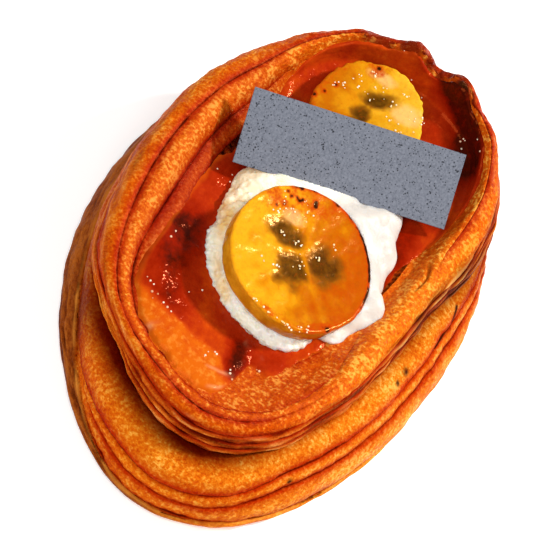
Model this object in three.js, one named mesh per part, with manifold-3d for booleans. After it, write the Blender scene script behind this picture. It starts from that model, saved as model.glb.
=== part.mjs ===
// Banana and caramel puff pastry: an oval boat of laminated pastry in two tiers, with caramel in its well,
// a spoonful of cream, two caramelised banana slices, and a small plain card that leans on the back slice
// with its near edge in the cream.
// Millimetres, +Z up. The origin is under the middle of the pastry, +X runs along it to the lipped far end
// and +Y to its left side. Bearings are degrees about +Z from the far end, towards the left side.
import * as THREE from "three";
import { mergeVertices } from "three/addons/utils/BufferGeometryUtils.js";
import Module from "manifold-3d";

const wasm = await Module();
wasm.setup();

// Driving dimensions of the pastry
const LENGTH = 120;
const WIDTH = 85.4;
const EGG = 0.06; // the far half is wider than the near half by about this share
const BOW = 2.6; // how far the two ends lie to the right of the middle
// Where the outline stands out from the oval, or in: a bearing, a reach and a spread in degrees.
const SHOULDERS = [
  { bearing: -60, reach: 1.6, spread: 15 },
  { bearing: 140, reach: -1.2, spread: 22 },
];
const FOOT_INSET = 2.2; // the flat base ends this far inside the outline
const FOOT_HEIGHT = 2; // height at which the wall stands furthest out
const WALL_BELLY = 0.3; // share of the wall's lean that its lower half takes
const LEDGE = 0.9; // the lower tier starts this far inside the wall's top edge
const TUCK = 1.1; // depth of the crease under the upper tier
const LAP = 1.2; // how far the upper tier hangs over that crease
const LAP_HEIGHT = 1.6;
const FLOOR_HEIGHT = 20; // middle of the well

// The crust's section at the near end, left side, far end and right side: insets from the outline,
// and heights.
const WALL_TOP = { near: 2.8, left: 9.5, far: 10, right: 3 };
const WALL_INSET = { near: 0.2, left: 2.8, far: 1, right: 0.2 };
const SHELF_INSET = { near: 11.5, left: 4.4, far: 3, right: 12.1 };
const SHELF_HEIGHT = { near: 16.5, left: 18.5, far: 20, right: 18 };
const CREST_INSET = { near: 14, left: 8, far: 3.8, right: 15 };
const CREST_HEIGHT = { near: 26, left: 28.5, far: 31.5, right: 27.5 };
const WELL_INSET = { near: 31, left: 18.3, far: 6.8, right: 21.5 };
const WELL_HEIGHT = { near: 22.5, left: 24.2, far: 24.5, right: 23.8 };
// Changes of the upper tier's insets, and of its height, where it stands further out and lower at the near
// left and where its lip is torn: each a bearing, a reach and a spread in degrees.
const SHELF_BULGE = [{ bearing: 120, reach: -2.7, spread: 10 }];
const CREST_BULGE = [{ bearing: 128, reach: -4, spread: 16 }];
const CREST_SAG = [
  { bearing: 138, reach: -2, spread: 14 },
  { bearing: -4, reach: -1.8, spread: 4 },
  { bearing: 7, reach: -1, spread: 5 },
];

// Where the end sizes take over from those of the left and right sides: the cosines of the bearing at which
// they begin and hold in full.
const BASE_TURN = { left: [0, 0.7], right: [0.14, 0.77] };
const RIM_TURN = { left: [0.62, 0.95], right: [0.42, 0.93] };
const EVEN_TURN = { left: [0, 1], right: [0, 1] };
const LOWER_TURN = { left: [0, 1], right: [0, 1], near: [0.72, 1] };
const INNER_TURN = { left: [0, 1], right: [0, 1], near: [0, 0.75] };
const CARAMEL_TURN = { left: [0.6, 1], right: [0.35, 1], near: [0, 0.8] };

// Puffed layers: where each one ends along its stretch of crust, how proud it stands as a share of its
// width, and its rings of mesh. A single number serves all four sides.
const LOWER_LAYERS = [
  { end: { near: 0.22, left: 0.06, far: 0.3, right: 0.4 }, puff: 0.13, rings: 3 },
  { end: { near: 0.37, left: 0.12, far: 0.6, right: 0.56 }, puff: 0.15, rings: 3 },
  { end: 1, puff: 0.14, rings: 6 },
];
const UPPER_LAYERS = [
  { end: { near: 0.17, left: 0.07, far: 0.1, right: 0.15 }, puff: 0.15, rings: 2 },
  { end: { near: 0.34, left: 0.14, far: 0.2, right: 0.3 }, puff: 0.15, rings: 2 },
  { end: { near: 0.52, left: 0.22, far: 0.3, right: 0.46 }, puff: 0.15, rings: 2 },
  { end: 1, puff: { near: 0.17, left: 0.17, far: 0.1, right: 0.06 }, rings: 6 },
];
const INNER_LAYERS = [
  {
    end: { near: 0.17, left: 0.6, far: 0.5, right: 0.8 },
    puff: { near: 0.22, left: 0.2, far: 0.03, right: 0.07 },
    rings: 6,
  },
  { end: 1, puff: { near: 0.02, left: 0.2, far: 0.02, right: 0.05 }, rings: 5 },
];
const PUFF_ROUNDNESS = 0.55; // smaller is rounder, with deeper creases

// The torn lip at the far end: its rise above the rim, and waves along its top.
const LIP = { bearing: -3, rise: 3.8, spread: 21 };
const LIP_WAVE = { crest: 5.5, pitch: 18.3, height: 1.9, spread: 17 };

// Caramel: where its edge lies on the well's slope, from 0 at the crest to 1 at the floor, and its depths.
// Where it draws back to a bare slope, that is a bearing, a reach and a spread in degrees.
const CARAMEL_EDGE = { near: 0.15, left: 0.86, far: 0.14, right: 0.98 };
const BARE_SLOPES = [
  { bearing: 225, reach: 0.75, spread: 20 },
  { bearing: 196, reach: 0.5, spread: 6 },
  { bearing: 62, reach: 0.16, spread: 17 },
];
const CARAMEL_FILM = 0.7;
const CARAMEL_DEPTH = 1.9;
const CARAMEL_RIM = 0.2;

// Cream: a spoonful pressed down by the front slice. Each lobe is a bearing, a reach and a spread in
// degrees.
const CREAM_AT = new THREE.Vector2(-0.3, -2.6);
const CREAM_RADIUS = 21;
const CREAM_TOP = 30.6;
const CREAM_TOP_SHIFT = 6; // its highest part lies this far behind the middle
const CREAM_EDGE_HEIGHT = 24.4;
const CREAM_BOTTOM = 19;
const CREAM_FOOT = 0.97; // its underside's width, as a share of its widest
const CREAM_LOBES = [
  { bearing: -31, reach: 5, spread: 6 },
  { bearing: -52, reach: 1, spread: 10 },
  { bearing: -78, reach: -2, spread: 12 },
  { bearing: -96, reach: 2.2, spread: 7 },
  { bearing: -138, reach: -3, spread: 6 },
  { bearing: -173, reach: 1.6, spread: 16 },
  { bearing: 99, reach: -1.2, spread: 6 },
  { bearing: 62, reach: 3.2, spread: 9 },
];

// Banana slices: size, face centre, and how far the face tips: near edge up, then left edge up.
// The lobe is the unevenness of the edge, as a share of the radius.
const FRONT_SLICE = {
  radius: 17.1,
  thickness: 6,
  at: [-4.1, -3.1, 32.15],
  nearUp: 2.2,
  leftUp: 11,
  lobe: 0.012,
};
const BACK_SLICE = {
  radius: 12.6,
  thickness: 7,
  at: [37.5, 3, 32],
  nearUp: -2,
  leftUp: -6,
  lobe: 0.03,
};
const SLICE_EDGE = 0.7; // rounding of the cut edge
const SLICE_DISH = 0.5; // the softened middle of the face

// Card: a flat rectangle that leans on the back slice's near rim, with its near edge in the cream.
const CARD_LENGTH = 49.1;
const CARD_WIDTH = 17.1;
const CARD_THICKNESS = 0.45;
const CARD_AT = new THREE.Vector3(24.1, 0.55, 32);
const CARD_TURN = 19.1; // about the vertical
const CARD_LEAN = 26.6; // far edge up

const GAP = 0.35; // clearance between neighbouring pieces

// Mesh fineness
const AROUND = 72;
const WALL_STEPS = 3;
const FLOOR_STEPS = 4;
const CARAMEL_STEPS = 8;
const CREAM_AROUND = 48;
const CREAM_STEPS = 6;
const SLICE_AROUND = 36;

const TURN = 2 * Math.PI;
const radians = THREE.MathUtils.degToRad;
const shares = (count) => Array.from({ length: count }, (_, i) => i / count);
const angles = (count) => shares(count).map((share) => TURN * share);
const mix = (a, b, share) => a + (b - a) * share;

// How far an angle lies from a bearing, and a bump that is 1 at a bearing and fades over a spread.
function offBearing(angle, bearing) {
  const off = angle - radians(bearing);
  return Math.atan2(Math.sin(off), Math.cos(off));
}
function bump(angle, bearing, spread) {
  const share = offBearing(angle, bearing) / radians(spread);
  return Math.exp(-(share ** 2) / 2);
}
function sumOfBumps(angle, bumps) {
  return bumps.reduce((sum, { bearing, reach, spread }) => sum + reach * bump(angle, bearing, spread), 0);
}

// A size that changes round the oval, from its values at the four sides. Angle 0 is the far end and a
// quarter turn the left side.
function around(size, angle, turn = EVEN_TURN) {
  if (typeof size === "number") return size;
  const c = Math.cos(angle);
  const side = Math.sin(angle) > 0 ? "left" : "right";
  const [from, full] = turn[side];
  const ahead = THREE.MathUtils.smoothstep(c, from, full);
  const behind = turn.near ? THREE.MathUtils.smoothstep(-c, ...turn.near) : c * c;
  return c > 0 ? mix(size[side], size.far, ahead) : mix(size[side], size.near, behind);
}

// The pastry's outline, centred on the frame, and a point at an inset from it towards the middle.
function oval(angle) {
  const c = Math.cos(angle);
  const across = (WIDTH / 2) * Math.sin(angle) * (1 + EGG * c);
  const edge = new THREE.Vector2((LENGTH / 2) * c, across - BOW * c * c);
  return edge.setLength(edge.length() + sumOfBumps(angle, SHOULDERS));
}
const ovalBox = new THREE.Box2().setFromPoints(angles(AROUND).map(oval));
const ovalCentre = ovalBox.getCenter(new THREE.Vector2());
const outline = (angle) => oval(angle).sub(ovalCentre);
function place(angle, [inset, height]) {
  const edge = outline(angle);
  const share = 1 - inset / edge.length();
  return new THREE.Vector3(edge.x * share, edge.y * share, height);
}

function crest(angle) {
  const { crest, pitch, height, spread } = LIP_WAVE;
  const wave = height * Math.cos((TURN * offBearing(angle, crest)) / radians(pitch));
  const rise = LIP.rise * bump(angle, LIP.bearing, LIP.spread);
  const lip = rise + wave * bump(angle, LIP.bearing, spread);
  return [
    around(CREST_INSET, angle, RIM_TURN) + sumOfBumps(angle, CREST_BULGE),
    around(CREST_HEIGHT, angle) + sumOfBumps(angle, CREST_SAG) + lip,
  ];
}
const wallTop = (angle) => [around(WALL_INSET, angle), around(WALL_TOP, angle, BASE_TURN)];
function shelf(angle) {
  const inset = around(SHELF_INSET, angle, BASE_TURN) + sumOfBumps(angle, SHELF_BULGE);
  return [inset, around(SHELF_HEIGHT, angle)];
}
const well = (angle) => [around(WELL_INSET, angle, RIM_TURN), around(WELL_HEIGHT, angle)];

// Curves between two [inset, height] corners of the section: a dome that starts upright, and a slope that
// is level at both ends.
function dome(from, to, f) {
  const a = (f * Math.PI) / 2;
  return [mix(from[0], to[0], 1 - Math.cos(a)), mix(from[1], to[1], Math.sin(a))];
}
function slope(from, to, f) {
  return [mix(from[0], to[0], f), mix(from[1], to[1], 0.5 - 0.5 * Math.cos(f * Math.PI))];
}

// A point on a curve, moved along its outward normal.
const NORMAL_STEP = 0.01;
function raised(curve, f, lift) {
  const [d0, z0] = curve(Math.max(0, f - NORMAL_STEP));
  const [d1, z1] = curve(Math.min(1, f + NORMAL_STEP));
  const size = Math.hypot(d1 - d0, z1 - z0);
  const [d, z] = curve(f);
  return [d - (lift * (z1 - z0)) / size, z + (lift * (d1 - d0)) / size];
}

// A stretch of crust with puffed layers side by side and a crease where each one ends.
function layered(curve, layers, angle, turn = EVEN_TURN) {
  const ends = layers.map((layer) => around(layer.end, angle, turn));
  return (f) => {
    const i = ends.findIndex((end) => f <= end);
    const start = i > 0 ? ends[i - 1] : 0;
    const [a, b] = [curve(start), curve(ends[i])];
    const width = Math.hypot(b[0] - a[0], b[1] - a[1]);
    const bulge = Math.max(0, Math.sin((Math.PI * (f - start)) / (ends[i] - start))) ** PUFF_ROUNDNESS;
    return raised(curve, f, around(layers[i].puff, angle) * width * bulge);
  };
}

function lowerCrust(angle) {
  const [inset, height] = wallTop(angle);
  return layered((f) => dome([inset + LEDGE, height], shelf(angle), f), LOWER_LAYERS, angle, LOWER_TURN);
}
function upperCrust(angle) {
  const [inset, height] = shelf(angle);
  const foot = [inset - LAP, height + LAP_HEIGHT];
  return layered((f) => dome(foot, crest(angle), f), UPPER_LAYERS, angle);
}
function innerCrust(angle) {
  return layered((f) => slope(crest(angle), well(angle), f), INNER_LAYERS, angle, INNER_TURN);
}
function floorCrust(angle) {
  const [inset, height] = well(angle);
  return (f) => [mix(inset, outline(angle).length(), f), mix(FLOOR_HEIGHT, height, (1 - f) ** 2)];
}

// Shares along a layered stretch at which the mesh has a ring, closer together at the creases.
function ringShares(layers, angle, turn = EVEN_TURN) {
  const ends = layers.map((layer) => around(layer.end, angle, turn));
  return layers.flatMap(({ rings }, i) => {
    const start = i > 0 ? ends[i - 1] : 0;
    const eased = shares(rings).map((share) => (1 - Math.cos(Math.PI * share)) / 2);
    return eased.map((share) => mix(start, ends[i], share));
  });
}

// The whole section at one angle, from the foot to just short of the well's middle.
function section(angle) {
  const [shelfInset, shelfHeight] = shelf(angle);
  const lower = lowerCrust(angle);
  const upper = upperCrust(angle);
  const inner = innerCrust(angle);
  const floor = floorCrust(angle);
  const corners = [];
  for (const share of [...shares(WALL_STEPS), 1]) {
    const a = (share * Math.PI) / 2;
    corners.push([FOOT_INSET * (1 - Math.sin(a)), FOOT_HEIGHT * (1 - Math.cos(a))]);
  }
  const [wallInset, wallHeight] = wallTop(angle);
  corners.push([wallInset * WALL_BELLY, (FOOT_HEIGHT + wallHeight) / 2]);
  corners.push([wallInset, wallHeight]);
  corners.push(...ringShares(LOWER_LAYERS, angle, LOWER_TURN).map(lower));
  corners.push([shelfInset + TUCK, shelfHeight + LAP_HEIGHT / 4]);
  corners.push(...ringShares(UPPER_LAYERS, angle).map(upper));
  corners.push(...ringShares(INNER_LAYERS, angle, INNER_TURN).map(inner));
  corners.push(...shares(FLOOR_STEPS).map(floor));
  return corners;
}

// A closed surface over rings of points that run from a lower pole, outwards and up, to an upper pole.
function skin(lowerPole, rings, upperPole) {
  const count = rings[0].length;
  const points = [lowerPole, ...rings.flat(), upperPole];
  const at = (ring, j) => 1 + ring * count + (j % count);
  const faces = [];
  for (let j = 0; j < count; j++) {
    faces.push(0, at(0, j + 1), at(0, j));
    for (let i = 0; i + 1 < rings.length; i++) {
      faces.push(at(i, j), at(i, j + 1), at(i + 1, j + 1));
      faces.push(at(i, j), at(i + 1, j + 1), at(i + 1, j));
    }
    faces.push(at(rings.length - 1, j), at(rings.length - 1, j + 1), points.length - 1);
  }
  return new THREE.BufferGeometry().setFromPoints(points).setIndex(faces);
}

function pastryGeometry() {
  const placed = (angle) => section(angle).map((corner) => place(angle, corner));
  const sections = angles(AROUND).map(placed);
  const rings = sections[0].map((_, i) => sections.map((points) => points[i]));
  return skin(new THREE.Vector3(0, 0, 0), rings, new THREE.Vector3(0, 0, FLOOR_HEIGHT));
}

// A point on the well's surface raised by a lift. The way runs from 0 at the crest past 1 at the floor's
// edge to 2 at its middle.
function onWell(angle, way, lift) {
  const curve = way < 1 ? innerCrust(angle) : floorCrust(angle);
  return place(angle, raised(curve, way < 1 ? way : way - 1, lift));
}
const caramelEdge = (angle) => around(CARAMEL_EDGE, angle, CARAMEL_TURN) + sumOfBumps(angle, BARE_SLOPES);
const caramelDepth = (share) => mix(CARAMEL_FILM, CARAMEL_DEPTH, Math.sin((share * Math.PI) / 2));

// The caramel, a film on the slopes and a pool on the floor. A margin grows it, to cut what lies on it.
const EDGE_GROWTH = 0.15; // how far along the way the edge moves for a millimetre of margin
function caramelGeometry(margin = 0) {
  const edge = (angle) => caramelEdge(angle) - EDGE_GROWTH * margin;
  const ring = (share, lift) =>
    angles(AROUND).map((angle) => onWell(angle, mix(edge(angle), 2, share), lift));
  const depth = (share) => (share > 0 ? caramelDepth(share) : CARAMEL_RIM);
  const steps = shares(CARAMEL_STEPS);
  const under = steps.toReversed().map((share) => ring(share, GAP - margin));
  const over = steps.map((share) => ring(share, GAP + margin + depth(share)));
  const middle = FLOOR_HEIGHT + GAP;
  return skin(
    new THREE.Vector3(0, 0, middle - margin),
    [...under, ...over],
    new THREE.Vector3(0, 0, middle + caramelDepth(1) + margin),
  );
}

// The cream before anything is pressed into it: a dome with lobes.
const creamReach = (angle) => CREAM_RADIUS + sumOfBumps(angle, CREAM_LOBES);
function creamGeometry() {
  const ring = (share, rise, height) =>
    angles(CREAM_AROUND).map((angle) => {
      const r = creamReach(angle) * share;
      const x = CREAM_AT.x + CREAM_TOP_SHIFT * rise + r * Math.cos(angle);
      return new THREE.Vector3(x, CREAM_AT.y + r * Math.sin(angle), height);
    });
  const rings = [ring(CREAM_FOOT, 0, CREAM_BOTTOM)];
  for (const share of shares(CREAM_STEPS)) {
    const rise = Math.sin((share * Math.PI) / 2);
    rings.push(ring(Math.sqrt(1 - rise * rise), rise, mix(CREAM_EDGE_HEIGHT, CREAM_TOP, rise)));
  }
  return skin(
    new THREE.Vector3(CREAM_AT.x, CREAM_AT.y, CREAM_BOTTOM),
    rings,
    new THREE.Vector3(CREAM_AT.x + CREAM_TOP_SHIFT, CREAM_AT.y, CREAM_TOP),
  );
}

// A banana slice with its face centre at the origin, facing up. A margin grows it all round, and headroom
// upwards. Its edge has three broad lobes, as a banana's section has, and five slighter ones.
function sliceGeometry({ radius, thickness, lobe }, margin = 0, headroom = 0) {
  const ring = (inset, height) =>
    angles(SLICE_AROUND).map((angle) => {
      const uneven = lobe * Math.cos(3 * angle) + (lobe / 2) * Math.cos(5 * angle + 1);
      const r = radius * (1 + uneven) + margin - inset;
      return new THREE.Vector3(r * Math.cos(angle), r * Math.sin(angle), height);
    });
  const [top, bottom] = [margin + headroom, -thickness - margin];
  const rings = [
    ring(SLICE_EDGE, bottom),
    ring(0, bottom + SLICE_EDGE),
    ring(0, top - SLICE_EDGE),
    ring(SLICE_EDGE, top),
    ring(radius / 2, top - SLICE_DISH / 2),
  ];
  return skin(new THREE.Vector3(0, 0, bottom), rings, new THREE.Vector3(0, 0, top - SLICE_DISH));
}

function cardGeometry(margin = 0) {
  const [x, y] = [CARD_LENGTH / 2 + margin, CARD_WIDTH / 2 + margin];
  const face = new THREE.Shape([
    new THREE.Vector2(-x, -y),
    new THREE.Vector2(x, -y),
    new THREE.Vector2(x, y),
    new THREE.Vector2(-x, y),
  ]);
  const depth = CARD_THICKNESS + 2 * margin;
  return new THREE.ExtrudeGeometry(face, { depth, bevelEnabled: false }).translate(0, 0, -depth / 2);
}

// Booleans on geometries in the part's frame.
function solid(geometry) {
  const bare = new THREE.BufferGeometry().setAttribute("position", geometry.getAttribute("position"));
  const merged = mergeVertices(bare.setIndex(geometry.getIndex()));
  return new wasm.Manifold(
    new wasm.Mesh({
      numProp: 3,
      vertProperties: new Float32Array(merged.getAttribute("position").array),
      triVerts: new Uint32Array(merged.getIndex().array),
    }),
  );
}
function geometryOf(manifold) {
  const { vertProperties, triVerts } = manifold.getMesh();
  return new THREE.BufferGeometry()
    .setAttribute("position", new THREE.BufferAttribute(vertProperties, 3))
    .setIndex(new THREE.BufferAttribute(triVerts, 1));
}
// The first geometry less the others, without any scrap that the cuts leave loose.
function cut(geometry, ...tools) {
  const left = tools.reduce((rest, tool) => rest.subtract(solid(tool)), solid(geometry));
  const bodies = left.decompose().sort((a, b) => b.volume() - a.volume());
  return geometryOf(bodies[0]);
}

function material(colour, roughness) {
  return new THREE.MeshStandardMaterial({ color: colour, roughness, metalness: 0, flatShading: true });
}
function piece(name, geometry, finish) {
  const mesh = new THREE.Mesh(geometry, finish);
  mesh.name = name;
  return mesh;
}

function slice(name, size) {
  const mesh = piece(name, sliceGeometry(size), material("#e59a12", 0.25));
  mesh.position.set(...size.at);
  mesh.rotation.set(radians(size.leftUp), radians(size.nearUp), 0);
  return mesh;
}
const frontSlice = slice("banana_front", FRONT_SLICE);
const backSlice = slice("banana_back", BACK_SLICE);

const card = piece("card", cardGeometry(), material("#777b86", 0.85));
card.position.copy(CARD_AT);
card.rotation.set(radians(CARD_LEAN), 0, radians(CARD_TURN - 90), "ZYX");

// The room that a placed piece takes up, with the clearance round it.
function room(mesh, grown) {
  mesh.updateMatrix();
  return grown.applyMatrix4(mesh.matrix);
}
const frontRoom = room(frontSlice, sliceGeometry(FRONT_SLICE, GAP, CREAM_TOP - CREAM_BOTTOM));
const backRoom = room(backSlice, sliceGeometry(BACK_SLICE, GAP));
const cardRoom = room(card, cardGeometry(GAP));

const pastryRoom = pastryGeometry().translate(0, GAP, GAP);
const pastry = piece("pastry", pastryGeometry(), material("#c8701d", 0.55));
const caramelPool = cut(caramelGeometry(), frontRoom, backRoom);
const caramel = piece("caramel", caramelPool, material("#8c2208", 0.12));
const creamTools = [pastryRoom, caramelGeometry(GAP), frontRoom, backRoom, cardRoom];
const cream = piece("cream", cut(creamGeometry(), ...creamTools), material("#f6f0e4", 0.4));

const root = new THREE.Group();
root.add(pastry, caramel, cream, frontSlice, backSlice, card);
export default root;
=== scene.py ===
# Banana and caramel puff pastry: the fine surface of its crust, caramel, cream, slices and card.
# Shapes are worked out in millimetres in the part's frame: +X to the lipped far end, +Y to the left
# side, +Z up. Bearings are degrees about +Z from the far end, towards the left side.
import math

import bpy
import numpy as np
from mathutils import Matrix, Vector


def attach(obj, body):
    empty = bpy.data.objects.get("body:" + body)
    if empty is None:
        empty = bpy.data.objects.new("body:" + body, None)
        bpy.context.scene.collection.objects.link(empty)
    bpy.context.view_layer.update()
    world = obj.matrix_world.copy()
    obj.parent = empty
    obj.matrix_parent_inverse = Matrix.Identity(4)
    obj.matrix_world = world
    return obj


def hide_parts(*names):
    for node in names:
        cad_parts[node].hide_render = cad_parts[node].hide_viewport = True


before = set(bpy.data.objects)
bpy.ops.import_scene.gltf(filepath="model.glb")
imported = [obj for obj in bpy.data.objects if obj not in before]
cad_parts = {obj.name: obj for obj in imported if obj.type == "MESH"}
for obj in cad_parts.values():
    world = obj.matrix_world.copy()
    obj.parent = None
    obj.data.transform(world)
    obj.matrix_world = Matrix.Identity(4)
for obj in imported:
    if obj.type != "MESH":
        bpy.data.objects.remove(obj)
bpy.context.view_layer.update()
MM = 0.001
TURN = 2 * math.pi


def sides(near, left, far, right):
    """A size at the four sides of the oval."""
    return dict(near=near, left=left, far=far, right=right)


# The pastry's form
LENGTH = 120
WIDTH = 85.4
EGG = 0.06  # how far the far half is widened and the near half narrowed, as a share
BOW = 2.6  # how far the two ends lie to the right of the middle
SHOULDERS = [(-60, 1.6, 15), (140, -1.2, 22)]  # bearing, reach and spread of each bulge of the outline
FOOT_INSET = 2.2
FOOT_HEIGHT = 2
WALL_BELLY = 0.3
LEDGE = 0.9
TUCK = 1.1
LAP = 1.2
LAP_HEIGHT = 1.6
FLOOR_HEIGHT = 20

# The crust's section at four sides: insets from the outline, and heights
WALL_TOP = sides(2.8, 9.5, 10, 3)
WALL_INSET = sides(0.2, 2.8, 1, 0.2)
SHELF_INSET = sides(11.5, 4.4, 3, 12.1)
SHELF_HEIGHT = sides(16.5, 18.5, 20, 18)
CREST_INSET = sides(14, 8, 3.8, 15)
CREST_HEIGHT = sides(26, 28.5, 31.5, 27.5)
WELL_INSET = sides(31, 18.3, 6.8, 21.5)
WELL_HEIGHT = sides(22.5, 24.2, 24.5, 23.8)
# Changes of the upper tier's insets and height: bearing, reach and spread
SHELF_BULGE = [(120, -2.7, 10)]
CREST_BULGE = [(128, -4, 16)]
CREST_SAG = [(138, -2, 14), (-4, -1.8, 4), (7, -1, 5)]

# Cosines of the bearing between which the sizes at the ends take over from those at the sides
BASE_TURN = dict(left=(0, 0.7), right=(0.14, 0.77))
RIM_TURN = dict(left=(0.62, 0.95), right=(0.42, 0.93))
EVEN_TURN = dict(left=(0, 1), right=(0, 1))
LOWER_TURN = dict(EVEN_TURN, near=(0.72, 1))
INNER_TURN = dict(EVEN_TURN, near=(0, 0.75))
CARAMEL_TURN = dict(left=(0.6, 1), right=(0.35, 1), near=(0, 0.8))

# Puffed layers: where each one ends along its stretch, its puff as a share of its width, and its rows
LOWER_LAYERS = [
    dict(end=sides(0.22, 0.06, 0.3, 0.4), puff=0.13, rows=8),
    dict(end=sides(0.37, 0.12, 0.6, 0.56), puff=0.15, rows=8),
    dict(end=1, puff=0.14, rows=22),
]
UPPER_LAYERS = [
    dict(end=sides(0.17, 0.07, 0.1, 0.15), puff=0.3, rows=8),
    dict(end=sides(0.34, 0.14, 0.2, 0.3), puff=0.3, rows=8),
    dict(end=sides(0.52, 0.22, 0.3, 0.46), puff=0.3, rows=8),
    dict(end=1, puff=sides(0.17, 0.17, 0.1, 0.02), rows=22),
]
INNER_LAYERS = [
    dict(end=sides(0.17, 0.6, 0.5, 0.8), puff=sides(0.22, 0.2, 0.03, 0.02), rows=22),
    dict(end=1, puff=sides(0.02, 0.2, 0.02, 0.05), rows=16),
]
PUFF_ROUNDNESS = 0.55
CREASE_WANDER = 0.4  # how far a crease strays
PUFF_UNEVENNESS = 0.2
CREASE_SPREAD = 1.5  # distance over which a crease's painted shade and redder colour fade

# The torn lip at the far end
LIP = dict(bearing=-3, rise=3.8, spread=21)
LIP_WAVE = dict(crest=5.5, pitch=18.3, height=1.9, spread=17)

# Rows of the pastry's other stretches, and columns round it
AROUND = 680
FOOT_ROWS = 5
WALL_ROWS = 11
TUCK_ROWS = 3
FLOOR_ROWS = 5

# Relief on the crust: size across and height of each kind, and the seeds of its swells
SWELLS = [(11, 0.3, 1), (3.2, 0.28, 2)]
BLISTER_SIZE, BLISTER_HEIGHT = 1.8, 0.3
STRATA_LENGTH, STRATA_SIZE, STRATA_HEIGHT = 9, 0.75, 0.2
CRINKLE_SIZE, CRINKLE_HEIGHT, CRINKLE_SPREAD = 3, 1.3, 20  # on the torn lip
CRUMB_SIZE, CRUMB_HEIGHT, CRUMB_SPREAD = 1.9, 1, 22  # on the torn lip's rim
# Shares up the upper tier over which each begins, and down the well's slope over which it fades
CRINKLE_BEGINS, CRINKLE_FADES = (0.4, 1), (0.33, 0.88)
CRUMBS_BEGIN, CRUMBS_FADE = (0.4, 0.8), (0.03, 0.13)

# Where the upper tier's thin layers show as dark fibres: bearing, weight and spread
THIN_LAYERS = [(105, 0.55, 24), (185, 0.8, 32), (300, 1, 20), (255, 0.8, 25)]
THIN_FADES = (0.18, 0.42)  # shares up the tier

# Where the shade under the upper tier darkens the lower one: bearing, weight and spread
UNDER_TIER = [(139, 1, 19), (190, 1, 22), (290, 0.5, 26)]

# Where the upper tier's creases are burnt: bearing, weight and spread
BURNT_CREASES = [(285, 1.05, 14)]
BURNT_FADES = (0.4, 0.7)  # shares up the tier

# Where each tier is browner or paler, partly as baked colour and partly as painted light and shade over
# whole sides: bearing, change and spread
LOWER_BAKE_AND_LIGHT = [(190, -0.26, 38), (245, -0.25, 20), (292, -0.35, 26)]
UPPER_BAKE_AND_LIGHT = [(100, -0.2, 45), (280, -0.22, 30), (325, 0.05, 18)]

# Marks of baking: a crack that is cut in and scorched lines, as paths with a width, and dark spots
CRACK_PATH = [
    (16.2, -26.3, 28), (14.4, -27.2, 28.2), (12, -27.9, 28.3), (9.6, -27.6, 28), (8, -27, 27.8),
]
CRACK_WIDTH, CRACK_DEPTH, CRACK_SCORCH = 0.35, 0.8, 0.4
SCORCHED = [
    ([(17, -36.9, 17.7), (13, -38.1, 15.3), (6.9, -38, 15)], 0.4),
    ([(55.5, -8, 37), (54, -11, 36), (53, -13.2, 35)], 1.4),
]
SPOTS = [
    ((-4.3, -35.7, 17.9), 1.0), ((-7.8, -35.4, 17.5), 0.7),
    ((-30.9, -24.3, 26.1), 0.6), ((-40.5, -27.4, 12.5), 0.7),
]

# Where the crust's other colours lie
TORN_BEARING, TORN_SPAN = 2, (0.93, 0.97)  # the lip's dark colour: its middle, and cosines off it
SHADED_BEARING, SHADED_SPAN = 115, (-0.2, 0.6)  # the wall's darker brown side, partly painted shade and partly browner baking: its middle, and cosines off it
UNDER_SPAN = (7, 2)  # how far out from the upper tier its shade begins, and is full
GLAZE = [(1, 4, 0.4), (5.5, 6.5, 0.6)]  # the well's film, past the crest: from, to and weight
GLAZED_SIDE = (95, 35)  # bearing and spread of the second film
EDGE_WIDTH = 0.4

# Caramel
CARAMEL_EDGE = sides(0.15, 0.86, 0.14, 0.98)
BARE_SLOPES = [(225, 0.75, 20), (196, 0.5, 6), (62, 0.16, 17)]
CARAMEL_FILM = 0.7
CARAMEL_DEPTH = 2.2
CARAMEL_SUNK = 0.4  # how far its underside lies in the crust
CARAMEL_BRIM = (-0.005, 0.045)  # shares of the way in over which its edge rises
BRIM_SUNK, BRIM_SPAN = 0.25, (0, 0.02)  # how far its very edge dips into the crust, and over what shares
CARAMEL_WAVES = [(6, 0.22, 80), (1.6, 0.07, 87)]  # size across, height and seed of each noise
CARAMEL_CALM = (0, 0.1)  # shares of the way in over which the waves begin
FAR_WAVES, FAR_SPAN = [(3, 0.15, 88)], (30, 40)  # at the far end, and the x over which they begin
CARAMEL_AROUND = 480
CARAMEL_ROWS, ROW_CROWDING = 80, 1.3  # rows lie closer together at its edge
AMBER_EDGE = (-36, -33.5, -30.1, -30.2, -29.4, -26), (-10, -3.1, 4, 11.2, 19.5, 26)  # x at each y
# Where the caramel is painted darker, and where the weight is below 0 lighter: partly its deeper colour
# where it pools and is scorched, partly painted shade and painted light that set how dark it looks under
# the lamps
DEEPER_CARAMEL_AND_SHADE = [  # paths, widths and weights
    ([(-26.5, -3, 24), (-30, -4.2, 24.3), (-34, -4.3, 24.8)], 2.5, 0.46),
    ([(-24, 2, 24), (-28, -2, 24.2)], 3, 0.15),
    ([(-12, 21, 25), (-20, 20, 26), (-26, 16, 26.5)], 6, 0.45),
    # Painted light, lifting the cream's shadow.
    ([(-24, 12, 25), (-27, 4, 24.5)], 4, -0.2),
    ([(14, 19, 26), (4, 22, 26), (-6, 22, 26)], 6, 0.15),
    ([(56, -7, 36), (53, -12, 33), (49, -17, 30), (44, -20.5, 28)], 4.6, 0.95),
    # Painted shade on the key-lit caramel on the right.
    ([(26, -17, 26), (14, -20, 25), (4, -22, 24.5)], 4, 0.3),
    ([(52, 8, 30), (54, -4, 30), (48, -14, 28)], 8, -0.12),
]
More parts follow.
